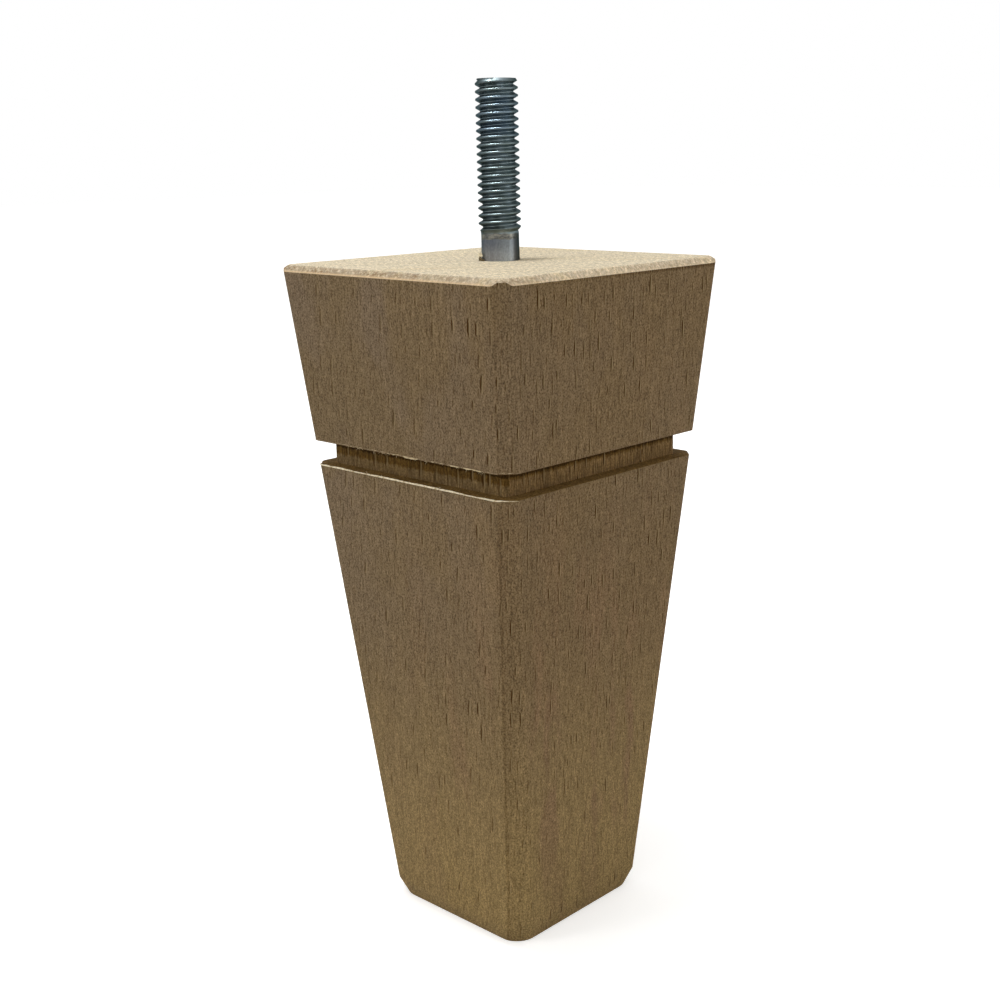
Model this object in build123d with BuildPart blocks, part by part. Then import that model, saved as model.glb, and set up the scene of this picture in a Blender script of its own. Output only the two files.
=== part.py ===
from build123d import *

import math
import os

# A tapered square furniture leg in solid beech, with a ring groove near its top and a
# hanger bolt screwed up to its shoulder in the end grain.
# Sizes are in millimetres. The origin is the middle of the foot's underside, +Z runs up
# the leg towards the bolt, and the four side faces look along X and Y.

# Leg body: overall taper
leg_height = 127.0
top_width = 59.8
foot_width = 35.8

# Flats sanded on the four upright edges, and the radius that softens their arrises
top_edge_flat = 3.45
foot_edge_flat = 4.45
top_arris_radius = 1.0
foot_arris_radius = 1.4

# Bevel cut straight along each side of the top face
top_bevel_inset = 2.0
top_bevel_drop = 1.2

# Eased rim all round the foot: a bevel whose corners round off towards the floor
foot_bevel_inset = 1.2
foot_bevel_rise = 3.8
foot_rim_arris_radius = 3.2

# Ring groove, with walls square to the leg's axis and an upright floor
groove_drop = 33.25
groove_height = 4.7
groove_depth = 3.2
groove_corner_radius = 1.5

# Hanger bolt: a machine-threaded stud above the wood, a lag end inside it
bolt_length = 63.5
stud_reach = 33.25
stud_diameter = 7.94
stud_thread_length = 28.95
stud_tip_chamfer = 0.5
thread_runout = 0.45
shank_diameter = 7.2
shank_embed = 3.2
lag_diameter = 6.0
lag_point_length = 7.0
lag_point_diameter = 0.8

# Stepped hole for the bolt
hole_clearance = 0.05
pilot_spare_depth = 2.5

# Levels above the foot
foot_bevel_level = foot_bevel_rise
groove_top_level = leg_height - groove_drop
groove_bottom_level = groove_top_level - groove_height
top_bevel_level = leg_height - top_bevel_drop
stud_tip_level = leg_height + stud_reach
thread_end_level = stud_tip_level - stud_thread_length
shoulder_level = leg_height - shank_embed
lag_tip_level = stud_tip_level - bolt_length


def taper(at_foot, at_top, level):
    """Read a size at one level, where it changes evenly from the foot to the top."""
    return at_foot + (at_top - at_foot) * level / leg_height


def leg_section(level, inset=0.0, arris_radius=None):
    """Draw the leg's outline at one level: a square with flattened, softened corners."""
    width = taper(foot_width, top_width, level) - 2 * inset
    # Moving all eight sides inwards shortens each flat by this much
    lost_flat = 2 * inset * math.tan(math.radians(22.5))
    flat = taper(foot_edge_flat, top_edge_flat, level) - lost_flat
    radius = arris_radius or taper(foot_arris_radius, top_arris_radius, level)
    with BuildSketch(Plane.XY.offset(level)) as section:
        Rectangle(width, width)
        chamfer(section.vertices(), length=flat / math.sqrt(2))
        fillet(section.vertices(), radius=radius)
    return section.sketch


def top_bevel_plane(turn):
    """Give the plane of the top bevel on the side that looks along X turned by an angle."""
    outward = Vector(1, 0, 0).rotate(Axis.Z, turn)
    rim = taper(foot_width, top_width, top_bevel_level) / 2
    inner = top_width / 2 - top_bevel_inset
    rim_point = outward * rim + Vector(0, 0, top_bevel_level)
    return Plane(rim_point, z_dir=outward * top_bevel_drop + Vector(0, 0, rim - inner))


with BuildPart() as leg_body:
    # Eased rim of the foot, then the long taper above it
    floor_section = leg_section(0.0, inset=foot_bevel_inset, arris_radius=foot_rim_arris_radius)
    rim_section = leg_section(foot_bevel_level)
    loft(sections=[floor_section, rim_section], ruled=True)
    loft(sections=[rim_section, leg_section(leg_height)], ruled=True)

    # Top bevels: flat cuts meeting in mitres, so each climbs where it crosses a corner flat
    for turn in (0, 90, 180, 270):
        split(bisect_by=top_bevel_plane(turn), keep=Keep.BOTTOM)

    # Ring groove
    groove_middle = (groove_top_level + groove_bottom_level) / 2
    core_width = taper(foot_width, top_width, groove_middle) - 2 * groove_depth
    with BuildSketch(Plane.XY.offset(groove_bottom_level)):
        Rectangle(2 * top_width, 2 * top_width)
        RectangleRounded(core_width, core_width, groove_corner_radius, mode=Mode.SUBTRACT)
    extrude(amount=groove_height, mode=Mode.SUBTRACT)

    # Stepped hole down the end grain: the wide part takes the shank, the pilot the lag end
    with Locations((0, 0, leg_height)):
        CounterBoreHole(
            radius=lag_diameter / 2 + hole_clearance,
            counter_bore_radius=shank_diameter / 2 + hole_clearance,
            counter_bore_depth=shank_embed,
            depth=leg_height - lag_tip_level + pilot_spare_depth,
        )
leg_body.part.label = "leg_body"

with BuildPart() as hanger_bolt:
    # Half of the bolt's outline, turned about its axis
    with BuildSketch(Plane.XZ):
        with BuildLine():
            Polyline(
                (0, lag_tip_level),
                (lag_point_diameter / 2, lag_tip_level),
                (lag_diameter / 2, lag_tip_level + lag_point_length),
                (lag_diameter / 2, shoulder_level),
                (shank_diameter / 2, shoulder_level),
                (shank_diameter / 2, thread_end_level),
                (stud_diameter / 2, thread_end_level + thread_runout),
                (stud_diameter / 2, stud_tip_level - stud_tip_chamfer),
                (stud_diameter / 2 - stud_tip_chamfer, stud_tip_level),
                (0, stud_tip_level),
                close=True,
            )
        make_face()
    revolve(axis=Axis.Z)
hanger_bolt.part.label = "hanger_bolt"

os.makedirs("parts", exist_ok=True)
export_step(leg_body.part, "parts/leg_body.step")
export_step(hanger_bolt.part, "parts/hanger_bolt.step")
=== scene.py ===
"""A tapered beech furniture leg with a ring groove and a zinc-plated hanger bolt.

Lengths in the classes of the leg and its finishes are millimetres, as on a workshop
drawing, and `MM` turns them into the frame's metres. The studio's own sizes are metres.
The leg stands on its foot at the origin with +Z running up the grain towards the bolt.
"""

import logging
import math
import random
from collections.abc import Callable, Iterator
from contextlib import contextmanager
from dataclasses import dataclass
from enum import Enum

import bmesh
import bpy
from mathutils import Matrix, Vector


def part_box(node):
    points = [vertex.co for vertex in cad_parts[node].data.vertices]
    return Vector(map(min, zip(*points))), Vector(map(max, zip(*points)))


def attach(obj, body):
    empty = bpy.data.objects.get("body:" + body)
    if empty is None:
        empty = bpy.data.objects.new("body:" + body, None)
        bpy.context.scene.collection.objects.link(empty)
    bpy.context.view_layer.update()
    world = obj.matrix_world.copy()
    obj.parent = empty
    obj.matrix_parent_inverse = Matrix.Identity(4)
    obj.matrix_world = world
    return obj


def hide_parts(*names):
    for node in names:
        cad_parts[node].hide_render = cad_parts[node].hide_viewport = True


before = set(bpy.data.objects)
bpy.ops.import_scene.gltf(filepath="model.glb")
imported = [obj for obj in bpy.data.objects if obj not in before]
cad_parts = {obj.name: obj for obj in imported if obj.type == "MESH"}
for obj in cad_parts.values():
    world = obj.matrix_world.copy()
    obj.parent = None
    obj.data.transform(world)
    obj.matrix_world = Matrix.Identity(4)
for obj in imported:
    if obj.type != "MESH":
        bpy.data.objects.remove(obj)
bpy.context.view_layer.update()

MM = 0.001
BODY = "root"
TURN = 2 * math.pi
OCTANT = math.pi / 8
CUT_SLACK = 0.001 * MM
WELD = 0.002 * MM
LEVEL_SLACK = 0.01 * MM

log = logging.getLogger("leg")


class Pick(Enum):
    """What edit mode selects."""

    VERTS = "VERT"
    EDGES = "EDGE"
    FACES = "FACE"


class Finish(Enum):
    """Material slots of the wooden leg, in the order they are added."""

    SIDE = 0
    GROOVE = 1
    SCORCHED = 2
    LEDGE = 3
    END = 4
    RIM = 5


Feed = float | tuple | bpy.types.NodeSocket


def linear(hex_colour: str) -> tuple[float, float, float, float]:
    """Turn an sRGB hex colour into a linear RGBA value.

    Args:
        hex_colour: The colour as "#RRGGBB".

    Returns:
        The linear red, green, blue and an alpha of one.
    """
    channels = [int(hex_colour[i : i + 2], 16) / 255 for i in (1, 3, 5)]
    bent = [c / 12.92 if c <= 0.04045 else ((c + 0.055) / 1.055) ** 2.4 for c in channels]
    return bent[0], bent[1], bent[2], 1.0


def add_node(
    tree: bpy.types.NodeTree, kind: str, feeds: dict[int | str, Feed] | None = None, **settings: object
) -> bpy.types.Node:
    """Add one shader node with its settings and what its sockets are fed with.

    Args:
        tree: The node tree to add to.
        kind: The node's type name.
        feeds: A value or a source socket for each input, by name or by index.
        settings: Properties of the node, set before its sockets are fed.

    Returns:
        The new node.
    """
    node = tree.nodes.new(kind)
    for name, value in settings.items():
        setattr(node, name, value)
    for key, value in (feeds or {}).items():
        if isinstance(value, bpy.types.NodeSocket):
            tree.links.new(value, node.inputs[key])
        else:
            node.inputs[key].default_value = value
    return node


def start_material(name: str) -> tuple[bpy.types.Material, bpy.types.NodeTree, bpy.types.Node]:
    """Make a material that holds only its shader.

    Args:
        name: The finish as a maker would call it.

    Returns:
        The material, its node tree and its Principled shader.
    """
    material = bpy.data.materials.new(name)
    material.use_nodes = True
    tree = material.node_tree
    return material, tree, tree.nodes["Principled BSDF"]


def deselect_all() -> None:
    """Leave object mode with nothing selected."""
    bpy.ops.object.select_all(action="DESELECT")


def pick_only(piece: bpy.types.Object) -> None:
    """Select one object alone and make it the active one.

    Args:
        piece: The object.
    """
    deselect_all()
    piece.select_set(True)
    bpy.context.view_layer.objects.active = piece


@contextmanager
def editing(piece: bpy.types.Object) -> Iterator[None]:
    """Open one piece in edit mode, and close it again afterwards.

    Args:
        piece: The object to edit, the only one selected.

    Yields:
        Nothing, while edit mode is open.
    """
    pick_only(piece)
    bpy.ops.object.mode_set(mode="EDIT")
    bpy.ops.mesh.select_mode(type=Pick.VERTS.value)
    yield
    bpy.ops.object.mode_set(mode="OBJECT")
    deselect_all()


def select_where(piece: bpy.types.Object, pick: Pick, test: Callable[[object], bool]) -> None:
    """Select the verts, edges or faces that pass a test, and nothing else.

    Args:
        piece: The object that is open in edit mode.
        pick: What the test is asked about.
        test: Takes one bmesh element and says whether it is wanted.
    """
    bpy.ops.mesh.select_mode(type=pick.value)
    bpy.ops.mesh.select_all(action="DESELECT")
    mesh = bmesh.from_edit_mesh(piece.data)
    elements = {Pick.VERTS: mesh.verts, Pick.EDGES: mesh.edges, Pick.FACES: mesh.faces}[pick]
    for element in [element for element in elements if test(element)]:
        element.select_set(True)
    mesh.select_flush_mode()
    bmesh.update_edit_mesh(piece.data)


def at_level(level: float) -> Callable[[bmesh.types.BMEdge | bmesh.types.BMFace], bool]:
    """Make a test for edges or faces that lie at one height, given in metres."""
    return lambda element: all(abs(vert.co.z - level) < LEVEL_SLACK for vert in element.verts)


def apply_modifier(piece: bpy.types.Object, kind: str, **settings: object) -> None:
    """Add one modifier to a piece and apply it at once.

    Args:
        piece: The object to change.
        kind: The modifier's type name.
        settings: The modifier's properties.
    """
    modifier = piece.modifiers.new(kind.title(), kind)
    for name, value in settings.items():
        setattr(modifier, name, value)
    pick_only(piece)
    bpy.ops.object.modifier_apply(modifier=modifier.name)
    deselect_all()


def shade(piece: bpy.types.Object, angle_deg: float) -> None:
    """Shade a piece smooth, except across edges sharper than an angle.

    Args:
        piece: The object to shade.
        angle_deg: The angle in degrees.
    """
    pick_only(piece)
    bpy.ops.object.shade_smooth_by_angle(angle=math.radians(angle_deg))
    deselect_all()


@dataclass(frozen=True)
class Fade:
    """A soft passage between two places, held level before and after it.

    It runs from `begin` to `end`, upwards or downwards, and its value from `first` to
    `last`.
    """

    begin: float
    end: float
    first: float = 0.0
    last: float = 1.0

    def mask(self, tree: bpy.types.NodeTree, place: bpy.types.NodeSocket) -> bpy.types.NodeSocket:
        """Draw the passage.

        Args:
            tree: The material's node tree.
            place: What the passage runs along, mostly millimetres.

        Returns:
            A socket between `first` and `last`.
        """
        run = {"From Min": self.begin, "From Max": self.end, "To Min": self.first, "To Max": self.last}
        return add_node(
            tree, "ShaderNodeMapRange", {"Value": place, **run}, interpolation_type="SMOOTHSTEP"
        ).outputs[0]


@dataclass(frozen=True)
class Lumps:
    """Soft noise whose lumps have a real size, across the rays, along them and up the grain.

    `detail` and `rough` say how many finer layers are laid over it and how strong they
    are. Where it has a `cut`, that fade makes patches of it.
    """

    size: tuple[float, float, float]
    detail: float = 2.0
    rough: float = 0.5
    cut: Fade | None = None

    def mask(self, tree: bpy.types.NodeTree, place: bpy.types.NodeSocket) -> bpy.types.NodeSocket:
        """Draw the noise.

        Args:
            tree: The material's node tree.
            place: Millimetres in the same three directions.

        Returns:
            A socket mostly near a half, or what the cut makes of it.
        """
        scaled = add_node(tree, "ShaderNodeVectorMath", {0: place, 1: self.size}, operation="DIVIDE")
        cloud = add_node(
            tree, "ShaderNodeTexNoise",
            {"Vector": scaled.outputs[0], "Scale": 1.0, "Detail": self.detail, "Roughness": self.rough},
        ).outputs["Fac"]
        return self.cut.mask(tree, cloud) if self.cut else cloud


@dataclass(frozen=True)
class Flecks:
    """Short dark dashes that the wood's rays leave on a long-grain face.

    One dash lies somewhere in each cell of a loose grid, and no dash is quite as long or
    as dark as the next. A high `rarity` makes most of them faint and a few nearly black.
    """

    cell_width: float
    cell_height: float
    width: float
    length: float
    depth: float
    rarity: float
    smallest: float = 0.45
    largest: float = 1.25
    crumb_scale: float = 1.3
    crumble: float = 0.8
    solid_to: float = 1.1
    gone_from: float = 1.5

    def mask(
        self, tree: bpy.types.NodeTree, across: bpy.types.NodeSocket, along: bpy.types.NodeSocket,
        shift: float = 0.0,
    ) -> bpy.types.NodeSocket:
        """Draw the dashes.

        Args:
            tree: The material's node tree.
            across: Millimetres across the rays.
            along: Millimetres along the grain.
            shift: How far the dashes are moved across the rays, in millimetres.

        Returns:
            A socket that is 0 between dashes and up to `depth` inside one.
        """
        column = add_node(tree, "ShaderNodeMath", {0: across, 1: shift}, operation="SUBTRACT")
        cell = add_node(tree, "ShaderNodeCombineXYZ", {"X": column.outputs[0], "Y": along})
        grid = add_node(
            tree, "ShaderNodeVectorMath",
            {0: cell.outputs[0], 1: (self.cell_width, self.cell_height, 1.0)}, operation="DIVIDE",
        )
        point = add_node(
            tree, "ShaderNodeTexVoronoi",
            {"Vector": grid.outputs[0], "Scale": 1.0}, voronoi_dimensions="2D", feature="F1",
        )
        offset = add_node(
            tree, "ShaderNodeVectorMath",
            {0: grid.outputs[0], 1: point.outputs["Position"]}, operation="SUBTRACT",
        )
        oval = (2 * self.cell_width / self.width, 2 * self.cell_height / self.length, 0.0)
        stretched = add_node(
            tree, "ShaderNodeVectorMath", {0: offset.outputs[0], 1: oval}, operation="MULTIPLY"
        )
        reach = add_node(tree, "ShaderNodeVectorMath", {0: stretched.outputs[0]}, operation="LENGTH")
        chance = add_node(tree, "ShaderNodeSeparateColor", {"Color": point.outputs["Color"]})
        size = add_node(
            tree, "ShaderNodeMapRange",
            {"Value": chance.outputs["Red"], "To Min": self.smallest, "To Max": self.largest},
        )
        edge = add_node(
            tree, "ShaderNodeMath", {0: reach.outputs["Value"], 1: size.outputs[0]}, operation="DIVIDE"
        )
        crumbs = add_node(
            tree, "ShaderNodeTexNoise",
            {"Vector": stretched.outputs[0], "Scale": self.crumb_scale, "Detail": 1.0},
        )
        uneven = add_node(
            tree, "ShaderNodeMath",
            {0: crumbs.outputs["Fac"], 1: self.crumble, 2: edge.outputs[0]}, operation="MULTIPLY_ADD",
        )
        body = add_node(
            tree, "ShaderNodeMapRange",
            {
                "Value": uneven.outputs[0], "From Min": self.solid_to, "From Max": self.gone_from,
                "To Min": 1.0, "To Max": 0.0,
            },
        )
        rare = add_node(
            tree, "ShaderNodeMath", {0: chance.outputs["Green"], 1: self.rarity}, operation="POWER"
        )
        strength = add_node(
            tree, "ShaderNodeMath", {0: rare.outputs[0], 1: self.depth}, operation="MULTIPLY"
        )
        return add_node(
            tree, "ShaderNodeMath", {0: body.outputs[0], 1: strength.outputs[0]}, operation="MULTIPLY"
        ).outputs[0]


@dataclass(frozen=True)
class Finished:
    """A finish: its name as a maker would call it, and the ways of laying its colours."""

    name: str

    def overlap(self, tree: bpy.types.NodeTree, *masks: Feed) -> bpy.types.NodeSocket:
        """Give how far all of several masks are open at once: their product.

        Args:
            tree: The material's node tree.
            masks: One socket or more, and factors.

        Returns:
            The product's socket.
        """
        share, *others = masks
        for other in others:
            share = add_node(tree, "ShaderNodeMath", {0: share, 1: other}, operation="MULTIPLY").outputs[0]
        return share

    def lay(self, tree: bpy.types.NodeTree, under: Feed, over: Feed, *masks: Feed) -> bpy.types.NodeSocket:
        """Lay one colour over another, as far as all of several masks let it show.

        Args:
            tree: The material's node tree.
            under: The colour that is there.
            over: The colour that is laid over it.
            masks: One socket or more, and factors.

        Returns:
            The new colour.
        """
        share = self.overlap(tree, *masks)
        return add_node(tree, "ShaderNodeMix", {0: share, 6: under, 7: over}, data_type="RGBA").outputs[2]

    def dim(
        self, tree: bpy.types.NodeTree, colour: bpy.types.NodeSocket, *levels: Feed
    ) -> bpy.types.NodeSocket:
        """Multiply a colour's brightness by each of several levels.

        Args:
            tree: The material's node tree.
            colour: The colour to change.
            levels: One level or more, where 1 changes nothing.

        Returns:
            The new colour.
        """
        level = self.overlap(tree, *levels)
        return add_node(tree, "ShaderNodeHueSaturation", {"Value": level, "Color": colour}).outputs[0]

    def vary(
        self, tree: bpy.types.NodeTree, colour: bpy.types.NodeSocket, noise: bpy.types.NodeSocket,
        swing: float,
    ) -> bpy.types.NodeSocket:
        """Make a colour lighter and darker by noise around a half.

        Args:
            tree: The material's node tree.
            colour: The colour to change.
            noise: The noise.
            swing: How far it goes either way, as a share of the colour's brightness.

        Returns:
            The new colour.
        """
        level = add_node(
            tree, "ShaderNodeMapRange", {"Value": noise, "To Min": 1 - swing, "To Max": 1 + swing},
            clamp=False,
        )
        return self.dim(tree, colour, level.outputs[0])


@dataclass(frozen=True)
class Beech(Finished):
    """What every cut through the same beech blank shares: its grain and its dullness."""

    ray_turn: float = 35.0
    roughness: float = 0.72
    sheen_level: float = 0.03

    def grain(self, tree: bpy.types.NodeTree) -> bpy.types.NodeSocket:
        """Turn a place on the piece into the wood's own directions.

        Args:
            tree: The material's node tree.

        Returns:
            Millimetres across the rays, along the rays and up the grain.
        """
        place = add_node(tree, "ShaderNodeTexCoord")
        return add_node(
            tree, "ShaderNodeMapping",
            {
                "Vector": place.outputs["Object"],
                "Rotation": (0.0, 0.0, math.radians(self.ray_turn)),
                "Scale": (1 / MM, 1 / MM, 1 / MM),
            },
        ).outputs[0]


@dataclass(frozen=True)
class LongGrainBeech(Beech):
    """Steamed beech cut along the grain and sanded, with no oil or varnish on it.

    The eye gets a dull brown face that shifts between olive, violet and red, fine upright
    fibres, and the short dark dashes that tell beech from other pale woods. A line of
    painted shade darkens the front flat's left arris, and another lies under the top
    bevel. Real fibres are too fine to show, so they and the speckle are drawn a quarter
    of a millimetre wide.
    """

    top_tone: str = "#705E45"
    heart_tone: str = "#735F44"
    foot_tone: str = "#89734C"
    cool_tone: str = "#71604C"
    red_tone: str = "#7B6248"
    fleck_tone: str = "#3A2408"
    pale_tone: str = "#8F7C5A"
    # Where the broad tones lie: across the rays, up the grain and in patches
    heart_side: Fade = Fade(-32.0, 4.0)
    sap_side: Fade = Fade(-32.0, 4.0, 1.0, 0.3)
    golden_foot: Fade = Fade(66.04, 3.81)
    cool_patches: Lumps = Lumps((9.0, 14.0, 26.0), cut=Fade(0.4, 0.6))
    cool_rise: Fade = Fade(25.4, 127.0, 0.15, 0.9)
    red_patches: Lumps = Lumps((4.5, 8.4, 26.0), cut=Fade(0.5, 0.66))
    red_fall: Fade = Fade(95.25, 31.75, 0.1, 0.9)
    red_rise: Fade = Fade(0.0, 38.1, 0.3, 1.0)
    # The wood's texture, with how far each part swings the brightness
    fibre: Lumps = Lumps((0.26, 0.6, 2.8), 3.0, 0.6)
    fibre_swing: float = 0.6
    speckle: Lumps = Lumps((0.24, 0.24, 0.34), 1.0)
    speckle_swing: float = 1.05
    figure: Lumps = Lumps((1.1, 2.0, 30.0))
    figure_swing: float = 0.16
    # The dashes, each with a pale edge on one side, and where they grow weaker
    main_flecks: Flecks = Flecks(
        cell_width=1.6, cell_height=4.4, width=0.25, length=3.0, depth=1.35, rarity=1.8
    )
    fine_flecks: Flecks = Flecks(
        cell_width=0.9, cell_height=2.4, width=0.2, length=1.6, depth=0.6, rarity=1.5
    )
    pale_shift: float = 0.24
    pale_share: float = 0.6
    dash_drift: Lumps = Lumps((20.0, 20.0, 9.0))
    dash_sway: float = 0.8
    weak_sapward: Fade = Fade(-32.0, 4.0, 0.55, 1.0)
    weak_foot: Fade = Fade(0.0, 88.9, 0.7, 1.0)
    flat_margin: Fade = Fade(-0.45, -0.9)
    # Two lines of painted shade: at the front flat's left arris and under the top bevel
    arris_shade_share: float = 0.27
    arris_start: Fade = Fade(0.15, 0.4)
    arris_core: Fade = Fade(0.85, 0.5, 0.25, 1.0)
    arris_spread: Fade = Fade(4.0, 2.0)
    arris_rise: Fade = Fade(63.5, 120.65, 1.0, 0.5)
    bevel_painted_shade: Fade = Fade(125.0, 125.6)
    bevel_shade_side: Fade = Fade(-10.0, 35.0, 0.0, 0.55)
    relief_strength: float = 0.35
    relief_depth: float = 0.03
    # The leg's own sizes, for what follows its flats
    leg_height: float = 127.0
    foot_width: float = 35.8
    top_width: float = 59.8
    foot_flat: float = 4.45
    top_flat: float = 3.45

    def fleck_strength(
        self, tree: bpy.types.NodeTree, across: bpy.types.NodeSocket, along: bpy.types.NodeSocket
    ) -> bpy.types.NodeSocket:
        """Say how strong the dashes are: weaker on the sap side and at the foot.

        They stop at the two flats that lie square to the rays, where each would be a blot.

        Args:
            tree: The material's node tree.
            across: Millimetres across the rays.
            along: Millimetres along the grain.

        Returns:
            A socket between 0 and 1.
        """
        foot_reach = self.foot_width / math.sqrt(2) - self.foot_flat / 2
        top_reach = self.top_width / math.sqrt(2) - self.top_flat / 2
        square = math.cos(math.radians(45 - self.ray_turn))
        rise = square * (top_reach - foot_reach) / self.leg_height
        flat_at = add_node(
            tree, "ShaderNodeMath", {0: along, 1: rise, 2: square * foot_reach}, operation="MULTIPLY_ADD"
        )
        aside = add_node(tree, "ShaderNodeMath", {0: across}, operation="ABSOLUTE")
        beyond = add_node(
            tree, "ShaderNodeMath", {0: aside.outputs[0], 1: flat_at.outputs[0]}, operation="SUBTRACT"
        )
        return self.overlap(
            tree, self.weak_sapward.mask(tree, across), self.weak_foot.mask(tree, along),
            self.flat_margin.mask(tree, beyond.outputs[0]),
        )

    def arris_painted_shade(
        self, tree: bpy.types.NodeTree, grain: bpy.types.NodeSocket, along: bpy.types.NodeSocket
    ) -> bpy.types.NodeSocket:
        """Draw painted shade on the front flat.

        It is a line at the flat's left arris, which spreads and fades towards the right.

        Args:
            tree: The material's node tree.
            grain: Millimetres in the wood's own directions.
            along: Millimetres along the grain.

        Returns:
            A socket between 0 and `arris_shade_share`.
        """
        turn = math.radians(45 - self.ray_turn)
        sideways = add_node(
            tree, "ShaderNodeVectorMath", {0: grain, 1: (math.cos(turn), -math.sin(turn), 0.0)},
            operation="DOT_PRODUCT",
        )
        narrowing = (self.foot_flat - self.top_flat) / 2 / self.leg_height
        half_flat = add_node(
            tree, "ShaderNodeMath", {0: along, 1: -narrowing, 2: self.foot_flat / 2},
            operation="MULTIPLY_ADD",
        )
        inwards = add_node(
            tree, "ShaderNodeMath", {0: sideways.outputs["Value"], 1: half_flat.outputs[0]}, operation="ADD"
        ).outputs[0]
        across_flat = (self.arris_start, self.arris_core, self.arris_spread)
        return self.overlap(
            tree, *(fade.mask(tree, inwards) for fade in across_flat),
            self.arris_rise.mask(tree, along), self.arris_shade_share,
        )

    def tones(
        self, tree: bpy.types.NodeTree, grain: bpy.types.NodeSocket, along: bpy.types.NodeSocket
    ) -> bpy.types.NodeSocket:
        """Mix the broad colours: golden at the foot, violet at the top, redder on the heart side.

        Args:
            tree: The material's node tree.
            grain: Millimetres in the wood's own directions.
            along: Millimetres along the grain.

        Returns:
            The colour's socket.
        """
        across = add_node(tree, "ShaderNodeSeparateXYZ", {0: grain}).outputs["X"]
        heart = self.heart_side.mask(tree, across)
        base = self.lay(tree, linear(self.top_tone), linear(self.heart_tone), heart)
        base = self.lay(tree, base, linear(self.foot_tone), self.golden_foot.mask(tree, along))
        base = self.lay(
            tree, base, linear(self.cool_tone), self.cool_patches.mask(tree, grain),
            self.cool_rise.mask(tree, along), self.sap_side.mask(tree, across),
        )
        return self.lay(
            tree, base, linear(self.red_tone), self.red_patches.mask(tree, grain),
            self.red_fall.mask(tree, along), self.red_rise.mask(tree, along), heart,
        )

    def build(self) -> bpy.types.Material:
        """Make the material.

        Returns:
            The material.
        """
        material, tree, shader = start_material(self.name)
        grain = self.grain(tree)
        axes = add_node(tree, "ShaderNodeSeparateXYZ", {0: grain})
        across, along = axes.outputs["X"], axes.outputs["Z"]
        colour = self.tones(tree, grain, along)
        dark = linear(self.fleck_tone)
        # Painted shade: a dark line at the front flat's left arris, and one under the top bevel
        if self.arris_shade_share:
            colour = self.lay(tree, colour, dark, self.arris_painted_shade(tree, grain, along))
            colour = self.lay(
                tree, colour, dark, self.bevel_painted_shade.mask(tree, along), self.bevel_shade_side.mask(tree, across)
            )

        fibres = self.fibre.mask(tree, grain)
        colour = self.vary(tree, colour, fibres, self.fibre_swing)
        colour = self.vary(tree, colour, self.speckle.mask(tree, grain), self.speckle_swing)
        colour = self.vary(tree, colour, self.figure.mask(tree, grain), self.figure_swing)

        # A slow drift keeps the dashes from standing in straight files
        swayed = add_node(
            tree, "ShaderNodeMath",
            {0: self.dash_drift.mask(tree, grain), 1: self.dash_sway, 2: across}, operation="MULTIPLY_ADD",
        ).outputs[0]
        strength = self.fleck_strength(tree, across, along)
        pale = self.main_flecks.mask(tree, swayed, along, shift=self.pale_shift)
        colour = self.lay(tree, colour, linear(self.pale_tone), pale, strength, self.pale_share)
        colour = self.lay(tree, colour, dark, self.fine_flecks.mask(tree, swayed, along), strength)
        dashes = self.overlap(tree, self.main_flecks.mask(tree, swayed, along), strength)
        colour = self.lay(tree, colour, dark, dashes)

        pits = add_node(tree, "ShaderNodeMath", {0: dashes, 1: -1.0, 2: fibres}, operation="MULTIPLY_ADD")
        relief = add_node(
            tree, "ShaderNodeBump",
            {"Height": pits.outputs[0], "Strength": self.relief_strength, "Distance": self.relief_depth * MM},
        )
        tree.links.new(colour, shader.inputs["Base Color"])
        tree.links.new(relief.outputs[0], shader.inputs["Normal"])
        shader.inputs["Roughness"].default_value = self.roughness
        shader.inputs["Specular IOR Level"].default_value = self.sheen_level
        return material


@dataclass(frozen=True)
class CutGrooveBeech(LongGrainBeech):
    """Beech in the groove, darkened towards its upper lip by painted shade.

    The eye gets a darker, coarser brown: painted shade above a ragged level, and a nearly
    black line of painted shadow under the upper lip. The ragged noise lifts every level by
    0.6 on average, and the levels below allow for that.
    """

    # Painted shade on the upper part of the wall, and a painted shadow line right under the lip
    upper_shade_tone: str = "#5E4621"
    lip_shadow_tone: str = "#35230A"
    ragged: Lumps = Lumps((0.7, 0.7, 4.0))
    ragged_height: float = 1.2
    rubbed: Fade = Fade(92.15, 92.75)
    lip_painted_shadow: Fade = Fade(92.7, 93.05, 0.0, 0.92)
    fibre_swing: float = 1.2
    speckle_swing: float = 0.8
    main_flecks: Flecks = Flecks(
        cell_width=1.2, cell_height=3.4, width=0.3, length=3.0, depth=1.0, rarity=1.6
    )
    weak_sapward: Fade = Fade(-32.0, 4.0, 1.0, 1.0)
    weak_foot: Fade = Fade(0.0, 88.9, 1.0, 1.0)
    arris_shade_share: float = 0.0

    def tones(
        self, tree: bpy.types.NodeTree, grain: bpy.types.NodeSocket, along: bpy.types.NodeSocket
    ) -> bpy.types.NodeSocket:
        """Darken the broad colours above a ragged level with painted shade, and once more right under the lip
        with a painted shadow.

        Args:
            tree: The material's node tree.
            grain: Millimetres in the wood's own directions.
            along: Millimetres along the grain.

        Returns:
            The colour's socket.
        """
        base = super().tones(tree, grain, along)
        level = add_node(
            tree, "ShaderNodeMath",
            {0: self.ragged.mask(tree, grain), 1: self.ragged_height, 2: along}, operation="MULTIPLY_ADD",
        ).outputs[0]
        # Painted shade high on the wall, then a nearly black painted shadow right under the lip
        base = self.lay(tree, base, linear(self.upper_shade_tone), self.rubbed.mask(tree, level))
        return self.lay(tree, base, linear(self.lip_shadow_tone), self.lip_painted_shadow.mask(tree, level))


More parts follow.
